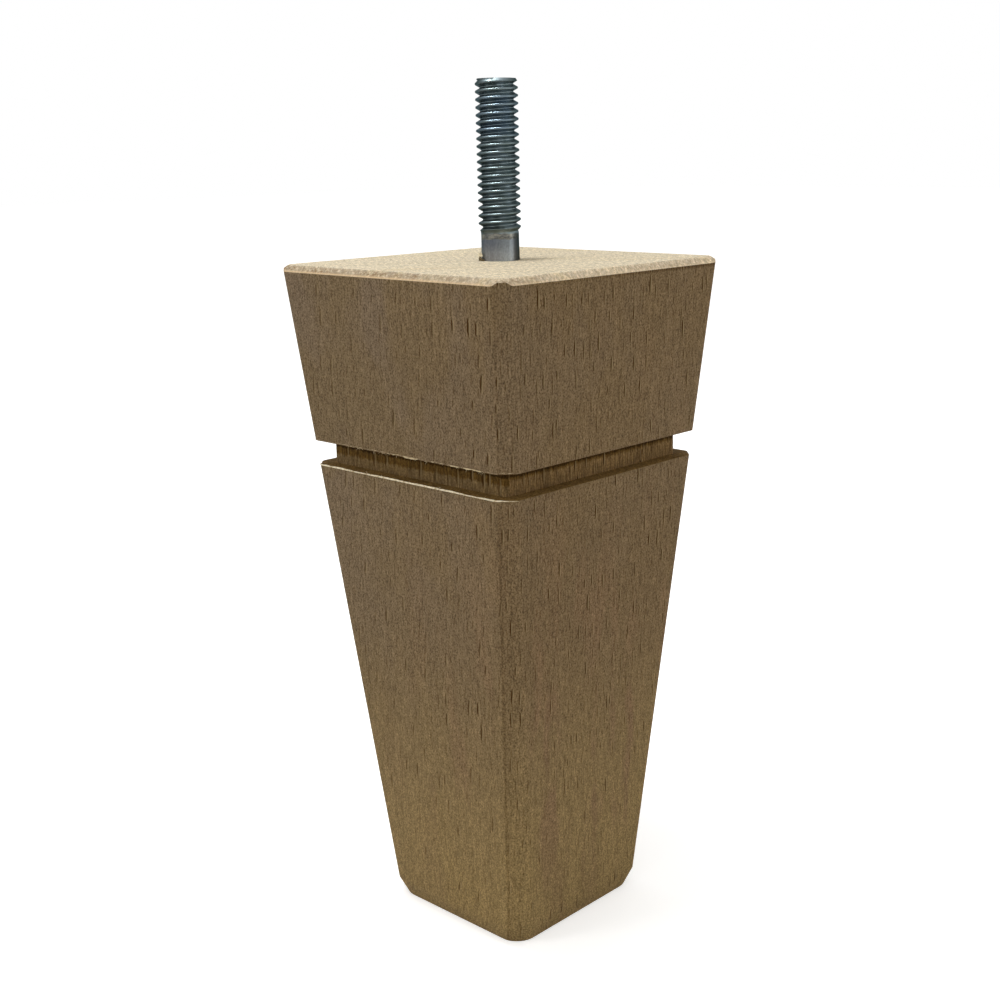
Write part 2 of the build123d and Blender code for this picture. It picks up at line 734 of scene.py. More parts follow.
@dataclass(frozen=True)
class EndGrainBeech(Beech):
    """Beech sawn across the grain and sanded: open pores seen end on.

    The eye gets a chalky cream face, finely speckled, with faint rays and growth rings.
    Real pores are under a tenth of a millimetre wide, too fine to show, so they are drawn
    0.3 mm wide and half a millimetre apart.
    """

    tone: str = "#D6C9AE"
    ring_tone: str = "#D2C09C"
    pore_tone: str = "#A8916F"
    rings: Lumps = Lumps((60.0, 2.4, 1.0), cut=Fade(0.45, 0.7, 0.0, 0.7))
    rays: Lumps = Lumps((0.35, 7.0, 1.0), 1.0)
    ray_swing: float = 0.1
    speckle: Lumps = Lumps((0.42, 0.6, 1.0), 3.0, 0.6)
    speckle_swing: float = 0.92
    blotch: Lumps = Lumps((0.8, 1.9, 1.0))
    blotch_swing: float = 0.55
    pore_cell: float = 0.55
    pore_size: float = 0.3
    pore_core: float = 0.4
    pore_share: float = 0.7
    relief_strength: float = 0.3
    relief_depth: float = 0.05
    roughness: float = 0.85
    sheen_level: float = 0.05

    def wear(
        self, tree: bpy.types.NodeTree, grain: bpy.types.NodeSocket, colour: bpy.types.NodeSocket
    ) -> bpy.types.NodeSocket:
        """Leave the face as the sander left it."""
        return colour

    def build(self) -> bpy.types.Material:
        """Make the material.

        Returns:
            The material.
        """
        material, tree, shader = start_material(self.name)
        grain = self.grain(tree)
        plane = add_node(
            tree, "ShaderNodeVectorMath", {0: grain, 1: (1.0, 1.0, 0.0)}, operation="MULTIPLY"
        ).outputs[0]
        colour = self.lay(tree, linear(self.tone), linear(self.ring_tone), self.rings.mask(tree, plane))
        colour = self.vary(tree, colour, self.rays.mask(tree, plane), self.ray_swing)
        colour = self.vary(tree, colour, self.speckle.mask(tree, plane), self.speckle_swing)
        # Blotches several pores wide, which a low view still shows
        colour = self.vary(tree, colour, self.blotch.mask(tree, plane), self.blotch_swing)

        cells = add_node(
            tree, "ShaderNodeVectorMath", {0: plane, 1: (self.pore_cell,) * 3}, operation="DIVIDE"
        )
        pores = add_node(
            tree, "ShaderNodeTexVoronoi",
            {"Vector": cells.outputs[0], "Scale": 1.0}, voronoi_dimensions="2D", feature="F1",
        )
        rim = self.pore_size / 2 / self.pore_cell
        pore = Fade(self.pore_core * rim, rim, self.pore_share, 0.0).mask(tree, pores.outputs["Distance"])
        colour = self.lay(tree, colour, linear(self.pore_tone), pore)
        colour = self.wear(tree, grain, colour)
        relief = add_node(
            tree, "ShaderNodeBump",
            {"Height": pore, "Strength": self.relief_strength, "Distance": self.relief_depth * MM},
            invert=True,
        )
        tree.links.new(colour, shader.inputs["Base Color"])
        tree.links.new(relief.outputs[0], shader.inputs["Normal"])
        shader.inputs["Roughness"].default_value = self.roughness
        shader.inputs["Specular IOR Level"].default_value = self.sheen_level
        return material


@dataclass(frozen=True)
class ScuffedBevelBeech(EndGrainBeech):
    """The bevel round the top face, sawn nearly across the grain and scuffed in sanding.

    The eye gets the end grain a little darker, with tan crumbs along its upper edge, a
    warmer lower lip, and less of both where the bevel turns to the light on the right.
    Painted shade darkens the bevel on the left and painted light brightens it on the right.
    """

    tone: str = "#C0B096"
    scuff_tone: str = "#8F7656"
    lip_tone: str = "#D9B88C"
    crumbs: Lumps = Lumps((0.7, 0.7, 0.35), 3.0, 0.65, Fade(0.38, 0.62))
    crumb_top: Fade = Fade(126.95, 126.6)
    crumb_rise: Fade = Fade(125.7, 126.3, 0.25, 1.0)
    patches: Lumps = Lumps((7.0, 7.0, 7.0), 1.0, cut=Fade(0.35, 0.6, 0.35, 1.15))
    scuffed_side: Fade = Fade(-20.0, 10.0, 1.0, 0.3)
    # Painted shade on the left bevels and painted light on the right ones
    bevel_painted_light: Fade = Fade(-20.0, 10.0, 0.91, 1.12)
    lip: Fade = Fade(126.25, 125.9, 0.0, 0.55)

    def wear(
        self, tree: bpy.types.NodeTree, grain: bpy.types.NodeSocket, colour: bpy.types.NodeSocket
    ) -> bpy.types.NodeSocket:
        """Paint the bevel darker on the left and lighter on the right, as painted shade and light, and lay
        the crumbs and the lip over it.

        Args:
            tree: The material's node tree.
            grain: Millimetres in the wood's own directions.
            colour: The sanded end grain's colour.

        Returns:
            The worn colour.
        """
        axes = add_node(tree, "ShaderNodeSeparateXYZ", {0: grain})
        across, level = axes.outputs["X"], axes.outputs["Z"]
        side = self.scuffed_side.mask(tree, across)
        # Painted shade on the left bevels and painted light on the right ones
        colour = self.dim(tree, colour, self.bevel_painted_light.mask(tree, across))
        colour = self.lay(
            tree, colour, linear(self.scuff_tone), side, self.crumbs.mask(tree, grain),
            self.patches.mask(tree, grain), self.crumb_rise.mask(tree, level),
            self.crumb_top.mask(tree, level),
        )
        return self.lay(tree, colour, linear(self.lip_tone), self.lip.mask(tree, level), side)


@dataclass(frozen=True)
class TornFibre(Beech):
    """Raw beech fibres that a tool lifted and broke.

    The eye gets pale, dry hairs with darker hollows between them.
    """

    tone: str = "#E4D8BA"
    hollow_tone: str = "#B49E76"
    tufts: Lumps = Lumps((0.5, 0.5, 0.35), cut=Fade(0.3, 0.6))
    roughness: float = 0.9
    sheen_level: float = 0.1

    def build(self) -> bpy.types.Material:
        """Make the material.

        Returns:
            The material.
        """
        material, tree, shader = start_material(self.name)
        tufts = self.tufts.mask(tree, self.grain(tree))
        colour = self.lay(tree, linear(self.hollow_tone), linear(self.tone), tufts)
        tree.links.new(colour, shader.inputs["Base Color"])
        shader.inputs["Roughness"].default_value = self.roughness
        shader.inputs["Specular IOR Level"].default_value = self.sheen_level
        return material


@dataclass(frozen=True)
class ZincPlate(Finished):
    """Rolled steel with a thin bright-zinc plating, passivated blue.

    The eye gets a dark blue-grey metal with narrow white glints on the thread's crests,
    a lighter shank with fine upright streaks and a dull grimy ring above it. Painted shade
    darkens the metal towards the left side, the right edge and the tip, and the thread's
    crests against its roots; painted light lightens the shank right of the middle and, as a
    painted reflection of the pale wood, towards its foot.
    """

    name: str = "blue-passivated zinc on steel"
    edge_tone: str = "#9CA4A5"
    # The thread: painted light at its roots and painted shade on its crests, then patches, and a bluer
    # passage near the tip
    root_painted_light_tone: str = "#889397"
    crest_painted_shade_tone: str = "#636E72"
    deep_tone: str = "#5C6866"
    blush_tone: str = "#62707A"
    crest: Fade = Fade(3.25, 3.95)
    patina: Lumps = Lumps((1.5, 1.5, 2.5), 3.0, cut=Fade(0.35, 0.65, 0.0, 0.6))
    blush_low: Fade = Fade(149.0, 151.0)
    blush_high: Fade = Fade(158.0, 156.5)
    blush_cloud: Lumps = Lumps((2.5, 2.5, 3.0), cut=Fade(0.3, 0.55, 0.2, 0.9))
    # Painted light and shade across the view: darker on the left, lighter right of the middle, darker at the
    # right edge and just below the tip
    thread_painted_light: Fade = Fade(-3.2, 2.0, 0.6, 1.18)
    thread_edge_painted_shade: Fade = Fade(1.8, 3.6, 1.0, 0.62)
    tip_painted_shade: Fade = Fade(159.2, 159.7, 1.0, 0.7)
    # The shank: a dark and a light tone at its foot and at its top, as painted shade and painted light across
    # it; its foot is lighter as a painted reflection of the pale wood
    shank_foot: tuple[str, str] = ("#838485", "#989EA2")
    shank_top: tuple[str, str] = ("#5B5F66", "#70767A")
    shank_painted_reflection: Fade = Fade(127.0, 130.8)
    shank_painted_light: Fade = Fade(-2.0, 1.6)
    shank_edge_painted_shade: Fade = Fade(3.1, 1.8)
    streaks: Lumps = Lumps((0.4, 0.4, 5.0), 3.0)
    streak_swing: float = 0.3
    mottle: Lumps = Lumps((0.3, 0.3, 0.5))
    mottle_swing: float = 0.4
    # The rough ring where the thread runs out is seldom polished. Its noise lifts the
    # two levels below by 0.45 on average
    ring_tones: tuple[str, str] = ("#7F7D74", "#565856")
    ring_wander: Lumps = Lumps((1.2, 1.2, 9.0))
    ring_wander_height: float = 0.9
    ring_low: Fade = Fade(131.6, 131.4)
    ring_high: Fade = Fade(132.4, 132.7)
    grime: Lumps = Lumps((0.8, 0.8, 0.4), cut=Fade(0.35, 0.65))
    # Painted shade: a dark band down the right edge of the shank and the ring
    right_edge_shade_tone: str = "#3C3F3D"
    rim: Fade = Fade(1.9, 3.1, 0.0, 0.8)
    # The thread's plating is a little duller than the drawn shank
    dullness: Fade = Fade(0.0, 1.0, 0.36, 0.32)
    relief_strength: float = 0.1
    relief_depth: float = 0.02

    def sideways(self, tree: bpy.types.NodeTree, in_mm: bpy.types.NodeSocket) -> bpy.types.NodeSocket:
        """Measure from the axis across the leg's diagonal, towards the right flat.

        Args:
            tree: The material's node tree.
            in_mm: The place on the bolt in millimetres.

        Returns:
            The distance in millimetres, negative on the left.
        """
        diagonal = math.sqrt(0.5)
        return add_node(
            tree, "ShaderNodeVectorMath", {0: in_mm, 1: (diagonal, -diagonal, 0.0)}, operation="DOT_PRODUCT"
        ).outputs["Value"]

    def thread(
        self, tree: bpy.types.NodeTree, in_mm: bpy.types.NodeSocket, level: bpy.types.NodeSocket
    ) -> bpy.types.NodeSocket:
        """Mix the thread's colour: painted shade on the crests and painted light in the roots, with a bluer
        passage near the tip, then painted shade on the left, at the right edge and near the tip.

        Args:
            tree: The material's node tree.
            in_mm: The place on the bolt in millimetres.
            level: Its height in millimetres.

        Returns:
            The colour's socket.
        """
        flat = add_node(tree, "ShaderNodeVectorMath", {0: in_mm, 1: (1.0, 1.0, 0.0)}, operation="MULTIPLY")
        radius = add_node(tree, "ShaderNodeVectorMath", {0: flat.outputs[0]}, operation="LENGTH")
        # Painted light in the roots and painted shade on the crests
        crest = self.crest.mask(tree, radius.outputs["Value"])
        colour = self.lay(tree, linear(self.root_painted_light_tone), linear(self.crest_painted_shade_tone), crest)
        colour = self.lay(tree, colour, linear(self.deep_tone), self.patina.mask(tree, in_mm))
        colour = self.lay(
            tree, colour, linear(self.blush_tone), self.blush_low.mask(tree, level),
            self.blush_high.mask(tree, level), self.blush_cloud.mask(tree, in_mm),
        )
        # Painted shade on the left, at the right edge and near the tip, and painted light right of the middle
        sideways = self.sideways(tree, in_mm)
        return self.dim(
            tree, colour, self.thread_painted_light.mask(tree, sideways), self.thread_edge_painted_shade.mask(tree, sideways),
            self.tip_painted_shade.mask(tree, level),
        )

    def shank(
        self, tree: bpy.types.NodeTree, in_mm: bpy.types.NodeSocket, level: bpy.types.NodeSocket,
        streaks: bpy.types.NodeSocket,
    ) -> bpy.types.NodeSocket:
        """Mix the shank's colour: painted light makes it lighter and greener on one side, painted shade
        darkens its right edge, and a painted reflection of the pale wood lightens it towards the wood.

        Args:
            tree: The material's node tree.
            in_mm: The place on the bolt in millimetres.
            level: Its height in millimetres.
            streaks: The upright streaks' noise.

        Returns:
            The colour's socket.
        """
        sideways = self.sideways(tree, in_mm)
        # Painted light right of the middle, fading to painted shade at the right edge
        side = self.overlap(tree, self.shank_painted_light.mask(tree, sideways), self.shank_edge_painted_shade.mask(tree, sideways))
        foot = self.lay(tree, *(linear(tone) for tone in self.shank_foot), side)
        top = self.lay(tree, *(linear(tone) for tone in self.shank_top), side)
        # A painted reflection of the pale wood: lighter towards the foot
        colour = self.lay(tree, foot, top, self.shank_painted_reflection.mask(tree, level))
        colour = self.vary(tree, colour, streaks, self.streak_swing)
        return self.vary(tree, colour, self.mottle.mask(tree, in_mm), self.mottle_swing)

    def build(self) -> bpy.types.Material:
        """Make the material.

        Returns:
            The material.
        """
        material, tree, shader = start_material(self.name)
        place = add_node(tree, "ShaderNodeTexCoord")
        in_mm = add_node(
            tree, "ShaderNodeVectorMath", {0: place.outputs["Object"], 3: 1 / MM}, operation="SCALE"
        ).outputs[0]
        level = add_node(tree, "ShaderNodeSeparateXYZ", {0: in_mm}).outputs["Z"]
        streaks = self.streaks.mask(tree, in_mm)
        wander = add_node(
            tree, "ShaderNodeMath",
            {0: self.ring_wander.mask(tree, in_mm), 1: self.ring_wander_height, 2: level},
            operation="MULTIPLY_ADD",
        ).outputs[0]
        above, below = self.ring_high.mask(tree, wander), self.ring_low.mask(tree, wander)
        ring = self.lay(tree, *(linear(tone) for tone in self.ring_tones), self.grime.mask(tree, in_mm))
        colour = self.lay(tree, ring, self.shank(tree, in_mm, level, streaks), below)
        # Painted shade: a dark band down the right edge of the shank and the ring
        rim = self.rim.mask(tree, self.sideways(tree, in_mm))
        colour = self.lay(tree, colour, linear(self.right_edge_shade_tone), rim)
        colour = self.lay(tree, colour, self.thread(tree, in_mm, level), above)
        plain = add_node(tree, "ShaderNodeMath", {0: 1.0, 1: above}, operation="SUBTRACT").outputs[0]
        relief = add_node(
            tree, "ShaderNodeBump",
            {
                "Height": self.overlap(tree, streaks, plain), "Strength": self.relief_strength,
                "Distance": self.relief_depth * MM,
            },
        )
        tree.links.new(colour, shader.inputs["Base Color"])
        tree.links.new(self.dullness.mask(tree, plain), shader.inputs["Roughness"])
        tree.links.new(relief.outputs[0], shader.inputs["Normal"])
        shader.inputs["Metallic"].default_value = 1.0
        shader.inputs["Specular Tint"].default_value = linear(self.edge_tone)
        return material


@dataclass
class LegBlank:
    """The wooden leg: one tapered square blank with a ring groove and a bored top.

    Each corner's tip is sanded off from `tip_drop` down its flat to `tip_reach` inside the
    mitre. The margins say how far past the groove's floor and past the bore an edge still
    counts as theirs. Edges sharper than `rounded_angle` are rounded, and shading breaks
    past `crisp_angle`, both in degrees.
    """

    top_width: float = 59.8
    foot_width: float = 35.8
    top_flat: float = 3.45
    foot_flat: float = 4.45
    top_arris: float = 1.0
    foot_arris: float = 1.4
    arris_steps: int = 3
    bevel_inset: float = 2.0
    bevel_drop: float = 1.2
    tip_drop: float = 0.64
    tip_reach: float = 0.5
    foot_inset: float = 1.2
    foot_rise: float = 3.8
    rim_arris: float = 3.2
    groove_drop: float = 33.25
    groove_height: float = 4.7
    groove_depth: float = 3.2
    groove_corner: float = 1.5
    core_margin: float = 0.5
    bore_radius: float = 3.65
    bore_points: int = 48
    bore_margin: float = 0.1
    bore_depth: float = 3.2
    pilot_radius: float = 3.05
    pilot_depth: float = 32.75
    edge_round: float = 0.12
    rounded_angle: float = 17.0
    crisp_angle: float = 32.0

    def __post_init__(self) -> None:
        """Read the height from the frame and work out the groove's levels."""
        self.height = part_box("leg_body")[1].z / MM
        self.groove_top = self.height - self.groove_drop
        self.groove_bottom = self.groove_top - self.groove_height
        middle = (self.groove_top + self.groove_bottom) / 2
        self.core_width = self.width(middle) - 2 * self.groove_depth

    def width(self, level: float) -> float:
        """Give the leg's width at a level."""
        return self.foot_width + (self.top_width - self.foot_width) * level / self.height

    def flat(self, level: float) -> float:
        """Give the width of the flat on each upright edge at a level."""
        return self.foot_flat + (self.top_flat - self.foot_flat) * level / self.height

    def ring(self, level: float, inset: float = 0.0, arris: float | None = None) -> None:
        """Add the leg's outline at a level: a square plane with its corners cut twice.

        Args:
            level: Height above the foot.
            inset: How far every side is moved inwards.
            arris: Radius that softens each flat's two arrises, or None for the taper's own.
        """
        flat = self.flat(level) - 2 * inset * math.tan(OCTANT)
        if arris is None:
            arris = self.foot_arris + (self.top_arris - self.foot_arris) * level / self.height
        side = self.width(level) - 2 * inset
        bpy.ops.mesh.primitive_plane_add(size=side * MM, location=(0, 0, level * MM))
        bpy.ops.mesh.bevel(offset=flat / math.sqrt(2) * MM, segments=1, affect="VERTICES")
        bpy.ops.mesh.bevel(
            offset=arris * math.tan(OCTANT) * MM, segments=self.arris_steps, affect="VERTICES"
        )
        bpy.ops.mesh.delete(type="ONLY_FACE")

    def core_ring(self, level: float) -> None:
        """Add the outline of the groove's floor, with as many points as the leg's outline.

        Args:
            level: Height above the foot.
        """
        bpy.ops.mesh.primitive_plane_add(size=self.core_width * MM, location=(0, 0, level * MM))
        bpy.ops.mesh.bevel(
            offset=self.groove_corner * MM, segments=2 * self.arris_steps + 1, affect="VERTICES"
        )
        bpy.ops.mesh.delete(type="ONLY_FACE")

    def bridge(self, leg: bpy.types.Object, test: Callable[[bmesh.types.BMEdge], bool]) -> None:
        """Skin between the two rings of edges that pass a test."""
        select_where(leg, Pick.EDGES, test)
        bpy.ops.mesh.bridge_edge_loops()

    def cut_top_bevels(self) -> None:
        """Slice the four sloping bevels off the top, so that they meet in mitres."""
        rim_level = self.height - self.bevel_drop
        rim = self.width(rim_level) / 2
        inner = self.top_width / 2 - self.bevel_inset
        for side in range(4):
            outward = Matrix.Rotation(side * TURN / 4, 3, "Z") @ Vector((1, 0, 0))
            bpy.ops.mesh.select_all(action="SELECT")
            bpy.ops.mesh.bisect(
                plane_co=(outward * rim + Vector((0, 0, rim_level))) * MM,
                plane_no=outward * self.bevel_drop + Vector((0, 0, rim - inner)),
                use_fill=True, clear_outer=True, threshold=CUT_SLACK,
            )

    def ease_corner_tips(self) -> None:
        """Sand off the tip that the mitred bevels leave on top of each upright flat."""
        flat_reach = self.top_width / math.sqrt(2) - self.top_flat / 2
        level = self.height - self.tip_drop
        inner = (self.top_width / 2 - self.bevel_inset) * math.sqrt(2) - self.tip_reach
        for corner in range(4):
            outward = Matrix.Rotation((corner + 0.5) * TURN / 4, 3, "Z") @ Vector((1, 0, 0))
            bpy.ops.mesh.select_all(action="SELECT")
            bpy.ops.mesh.bisect(
                plane_co=(outward * flat_reach + Vector((0, 0, level))) * MM,
                plane_no=outward * self.tip_drop + Vector((0, 0, flat_reach - inner)),
                use_fill=True, clear_outer=True, threshold=CUT_SLACK,
            )

    def bore(self, leg: bpy.types.Object) -> None:
        """Sink the stepped hole for the bolt into the top face.

        Args:
            leg: The leg, open in edit mode.
        """
        top = self.height * MM
        select_where(leg, Pick.FACES, at_level(top))
        bpy.ops.mesh.delete(type="ONLY_FACE")
        bpy.ops.mesh.primitive_circle_add(
            vertices=self.bore_points, radius=self.bore_radius * MM, location=(0, 0, top),
            fill_type="NOTHING",
        )
        self.bridge(leg, at_level(top))
        reach = (self.bore_radius + self.bore_margin) * MM

        def mouth(edge: bmesh.types.BMEdge) -> bool:
            """Tell the bore's own edge on the top face."""
            return at_level(top)(edge) and all(vert.co.xy.length < reach for vert in edge.verts)

        select_where(leg, Pick.EDGES, mouth)
        bpy.ops.mesh.extrude_region_move(TRANSFORM_OT_translate={"value": (0, 0, -self.bore_depth * MM)})
        bpy.ops.mesh.extrude_region_move()
        step = self.pilot_radius / self.bore_radius
        bpy.ops.transform.resize(value=(step, step, 1), center_override=(0, 0, top))
        drop = self.pilot_depth - self.bore_depth
        bpy.ops.mesh.extrude_region_move(TRANSFORM_OT_translate={"value": (0, 0, -drop * MM)})
        bpy.ops.mesh.edge_face_add()

    def paint(self, leg: bpy.types.Object, wood: dict[Finish, bpy.types.Material]) -> None:
        """Give every face the finish of the cut that made it.

        Args:
            leg: The finished mesh.
            wood: The material of each finish.
        """
        for finish in Finish:
            leg.data.materials.append(wood[finish])
        slack = 0.05 * MM
        low, high = self.groove_bottom * MM - slack, self.groove_top * MM + slack
        # From how much of its normal along an axis a face counts as facing that way
        faces_it, slopes_up, level_up, level_down = 0.5, 0.3, 0.985, -0.9
        for face in leg.data.polygons:
            heights = [leg.data.vertices[i].co.z for i in face.vertices]
            in_groove = min(heights) > low and max(heights) < high
            if in_groove and abs(face.normal.z) > faces_it:
                finish = Finish.LEDGE
            # Groove faces facing left or right take the finish with deeper painted shade
            elif in_groove and abs(face.normal.x) > faces_it:
                finish = Finish.SCORCHED
            elif in_groove:
                finish = Finish.GROOVE
            elif face.normal.z > level_up or face.normal.z < level_down:
                finish = Finish.END
            elif face.normal.z > slopes_up:
                finish = Finish.RIM
            elif face.center.xy.length < (self.bore_radius + self.bore_margin) * MM:
                finish = Finish.END
            else:
                finish = Finish.SIDE
            face.material_index = finish.value

    def build(self, wood: dict[Finish, bpy.types.Material]) -> bpy.types.Object:
        """Model the leg from a ring at each level.

        Args:
            wood: The material of each finish.

        Returns:
            The finished piece, which stands for the plain solid.
        """
        bpy.ops.mesh.primitive_plane_add(size=self.foot_width * MM)
        leg = bpy.context.active_object
        leg.name = "leg_blank"
        top, high, low = self.height * MM, self.groove_top * MM, self.groove_bottom * MM
        rise = self.foot_rise * MM
        core_reach = (self.core_width / 2 + self.core_margin) * MM

        def reach(vert: bmesh.types.BMVert) -> float:
            """Give how far a vertex stands from the axis, measured squarely."""
            return max(abs(vert.co.x), abs(vert.co.y))

        def core(edge: bmesh.types.BMEdge) -> bool:
            """Tell the outline of the groove's floor."""
            return all(reach(vert) < core_reach for vert in edge.verts)

        def outer(edge: bmesh.types.BMEdge) -> bool:
            """Tell the leg's own outline."""
            return all(reach(vert) > core_reach for vert in edge.verts)

        def between(a: float, b: float) -> Callable[[bmesh.types.BMEdge], bool]:
            """Make a test for edges at either of two levels."""
            return lambda edge: at_level(a)(edge) or at_level(b)(edge)

        with editing(leg):
            bpy.ops.mesh.select_all(action="SELECT")
            bpy.ops.mesh.delete(type="VERT")
            self.ring(0.0, self.foot_inset, self.rim_arris)
            self.ring(self.foot_rise)
            self.bridge(leg, between(0.0, rise))
            self.ring(self.groove_bottom)
            self.bridge(leg, between(rise, low))
            self.core_ring(self.groove_bottom)
            self.bridge(leg, at_level(low))
            self.core_ring(self.groove_top)
            self.bridge(leg, lambda edge: between(low, high)(edge) and core(edge))
            self.ring(self.groove_top)
            self.bridge(leg, at_level(high))
            self.ring(self.height)
            self.bridge(leg, lambda edge: between(high, top)(edge) and outer(edge))
            for level in (0.0, top):
                select_where(leg, Pick.EDGES, at_level(level))
                bpy.ops.mesh.edge_face_add()
            self.cut_top_bevels()
            self.ease_corner_tips()
            self.bore(leg)
            bpy.ops.mesh.select_all(action="SELECT")
            bpy.ops.mesh.remove_doubles(threshold=WELD)
            bpy.ops.mesh.normals_make_consistent(inside=False)
        self.paint(leg, wood)
        apply_modifier(
            leg, "BEVEL", width=self.edge_round * MM, segments=2, limit_method="ANGLE",
            angle_limit=math.radians(self.rounded_angle), use_clamp_overlap=True,
        )
        shade(leg, self.crisp_angle)
        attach(leg, BODY)
        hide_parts("leg_body")
        return leg


@dataclass(frozen=True)
class Lip:
    """One ragged strip of torn wood along an edge of the groove, over the left face.

    It is rooted `base` above the edge's level and reaches on from there, downwards where
    `reach` is negative. `ragged` is the share of that reach which breaks off at most, and
    `jump` how much of it may change from one fibre to the next.
    """

    name: str
    level: float
    base: float
    reach: float
    ragged: float
    jump: float
    hairs: int
    hair_length: float


@dataclass(frozen=True)
class Splinter:
    """One splinter beside the bolt.

    It stands at a bearing in degrees, its foot lifted above the wood, leans outwards by
    some degrees, and is `girth` times as thick as a hair.
    """

    bearing: float
    lift: float
    lean: float
    length: float
    girth: float


@dataclass
class LooseFibres:
    """Fibres that the tools left standing: along the groove's two lips and round the bolt.

    A pair of values is the range of a draw. Places along a lip are shares of half the
    leg's width, and a hair's height is a share of its lip's reach.
    """

    leg: LegBlank
    bolt_radius: float
    side_cuts: int = 120
    front_cuts: int = 8
    corner_slack: float = 0.4
    thick: float = 0.16
    least_kept: float = 0.05
    waver: tuple[float, float] = (-0.04, 0.02)
    hair_thick: float = 0.09
    hair_joints: int = 4
    hair_narrowing: float = 0.8
    hair_along: tuple[float, float] = (-0.93, 0.9)
    hair_height: float = 0.6
    hair_lean: float = 50.0
    hair_length: tuple[float, float] = (0.4, 1.0)
    crisp_angle: float = 40.0
    seed: int = 11

    def __post_init__(self) -> None:
        """Start the draws."""
        self.dice = random.Random(self.seed)

    def hair(self, curl: float) -> bpy.types.Object:
        """Model one broken fibre: a millimetre long, rooted at the origin, curling along +X.

        Args:
            curl: How much further each of its joints leans, in millimetres.

        Returns:
            The fibre, to be copied.
        """
        bpy.ops.mesh.primitive_circle_add(vertices=6, radius=self.hair_thick / 2 * MM, fill_type="NGON")
        hair = bpy.context.active_object
        hair.name = "hair"
        thinner = (self.hair_narrowing, self.hair_narrowing, 1)
        with editing(hair):
            bpy.ops.mesh.select_all(action="SELECT")
            aside = 0.0
            for joint in range(1, self.hair_joints + 1):
                lean = curl * joint
                aside += lean
                bpy.ops.mesh.extrude_region_move(
                    TRANSFORM_OT_translate={"value": (lean * MM, 0, MM / self.hair_joints)}
                )
                centre = (aside * MM, 0, joint / self.hair_joints * MM)
                bpy.ops.transform.resize(value=thinner, center_override=centre)
            bpy.ops.mesh.select_all(action="SELECT")
            bpy.ops.mesh.normals_make_consistent(inside=False)
        return hair

    def plant(
        self, hair: bpy.types.Object, root: Vector, lean: Matrix, length: float, girth: float = 1.0
    ) -> bpy.types.Object:
        """Copy the hair to a place.

        Args:
            hair: The hair that is copied, with a mesh of its own for each copy.
            root: Where it grows from, in millimetres.
            lean: Its turn.
            length: Its length in millimetres.
            girth: How much thicker it is than the first one.

        Returns:
            The copy.
        """
        copy = hair.copy()
        copy.data = hair.data.copy()
        bpy.context.scene.collection.objects.link(copy)
        copy.matrix_world = Matrix.Translation(root * MM) @ lean @ Matrix.Diagonal((girth, girth, length, 1))
        return copy

    def join(self, base: bpy.types.Object, copies: list[bpy.types.Object]) -> None:
        """Apply the copies' places and make them one piece with the first.

        Args:
            base: The first object, which stays.
            copies: The others.
        """
        deselect_all()
        for piece in (base, *copies):
            piece.select_set(True)
        bpy.context.view_layer.objects.active = base
        bpy.ops.object.transform_apply(location=True, rotation=True, scale=True)
        bpy.ops.object.join()
        deselect_all()

    def strip(self, lip: Lip) -> bpy.types.Object:
        """Model the strip of one lip: it follows the left face and fades round the front flat.

        Args:
            lip: The lip.

        Returns:
            The strip.
        """
        half = self.leg.width(lip.level) / 2
        straight = half - self.leg.flat(lip.level) / math.sqrt(2)
        bpy.ops.mesh.primitive_plane_add(size=self.leg.foot_width * MM)
        strip = bpy.context.active_object
        strip.name = lip.name

        def elsewhere(vert: bmesh.types.BMVert) -> bool:
            """Tell what lies neither on the left face nor on the front flat.

            Args:
                vert: One corner of the leg's outline.

            Returns:
                Whether it is left out of the strip.
            """
            behind = vert.co.x > (self.corner_slack - straight) * MM
            beside = vert.co.y > (straight + self.corner_slack) * MM
            return behind or beside or vert.co.y < -(half + self.corner_slack) * MM

        with editing(strip):
            bpy.ops.mesh.select_all(action="SELECT")
            bpy.ops.mesh.delete(type="VERT")
            self.leg.ring(lip.level)
            select_where(strip, Pick.VERTS, elsewhere)
            bpy.ops.mesh.delete(type="VERT")
            select_where(strip, Pick.EDGES, lambda edge: edge.calc_length() > half * MM)
            bpy.ops.mesh.subdivide(number_cuts=self.side_cuts)
            select_where(strip, Pick.EDGES, lambda edge: edge.calc_length() > MM)
            bpy.ops.mesh.subdivide(number_cuts=self.front_cuts)
            bpy.ops.mesh.select_all(action="SELECT")
            bpy.ops.transform.translate(value=(0, 0, lip.base * MM))
            bpy.ops.mesh.extrude_region_move(TRANSFORM_OT_translate={"value": (0, 0, lip.reach * MM)})
        foot = (lip.level + lip.base) * MM
        drift = 0.5
        for vert in sorted(strip.data.vertices, key=lambda vert: (-vert.co.y, vert.co.x)):
            if abs(vert.co.z - foot) < CUT_SLACK:
                continue
            # Neighbouring fibres break at nearly the same height
            drift = min(max(drift + self.dice.uniform(-lip.jump, lip.jump), 0.0), 1.0)
            round_front = min(max((-straight - vert.co.y / MM) / (half - straight), 0.0), 1.0)
            kept = max(1 - lip.ragged * drift, self.least_kept) * (1 - round_front)
            vert.co.z = foot + lip.reach * kept * MM
            vert.co.x += self.dice.uniform(*self.waver) * MM
        apply_modifier(strip, "SOLIDIFY", thickness=self.thick * MM, offset=0.0)
        return strip

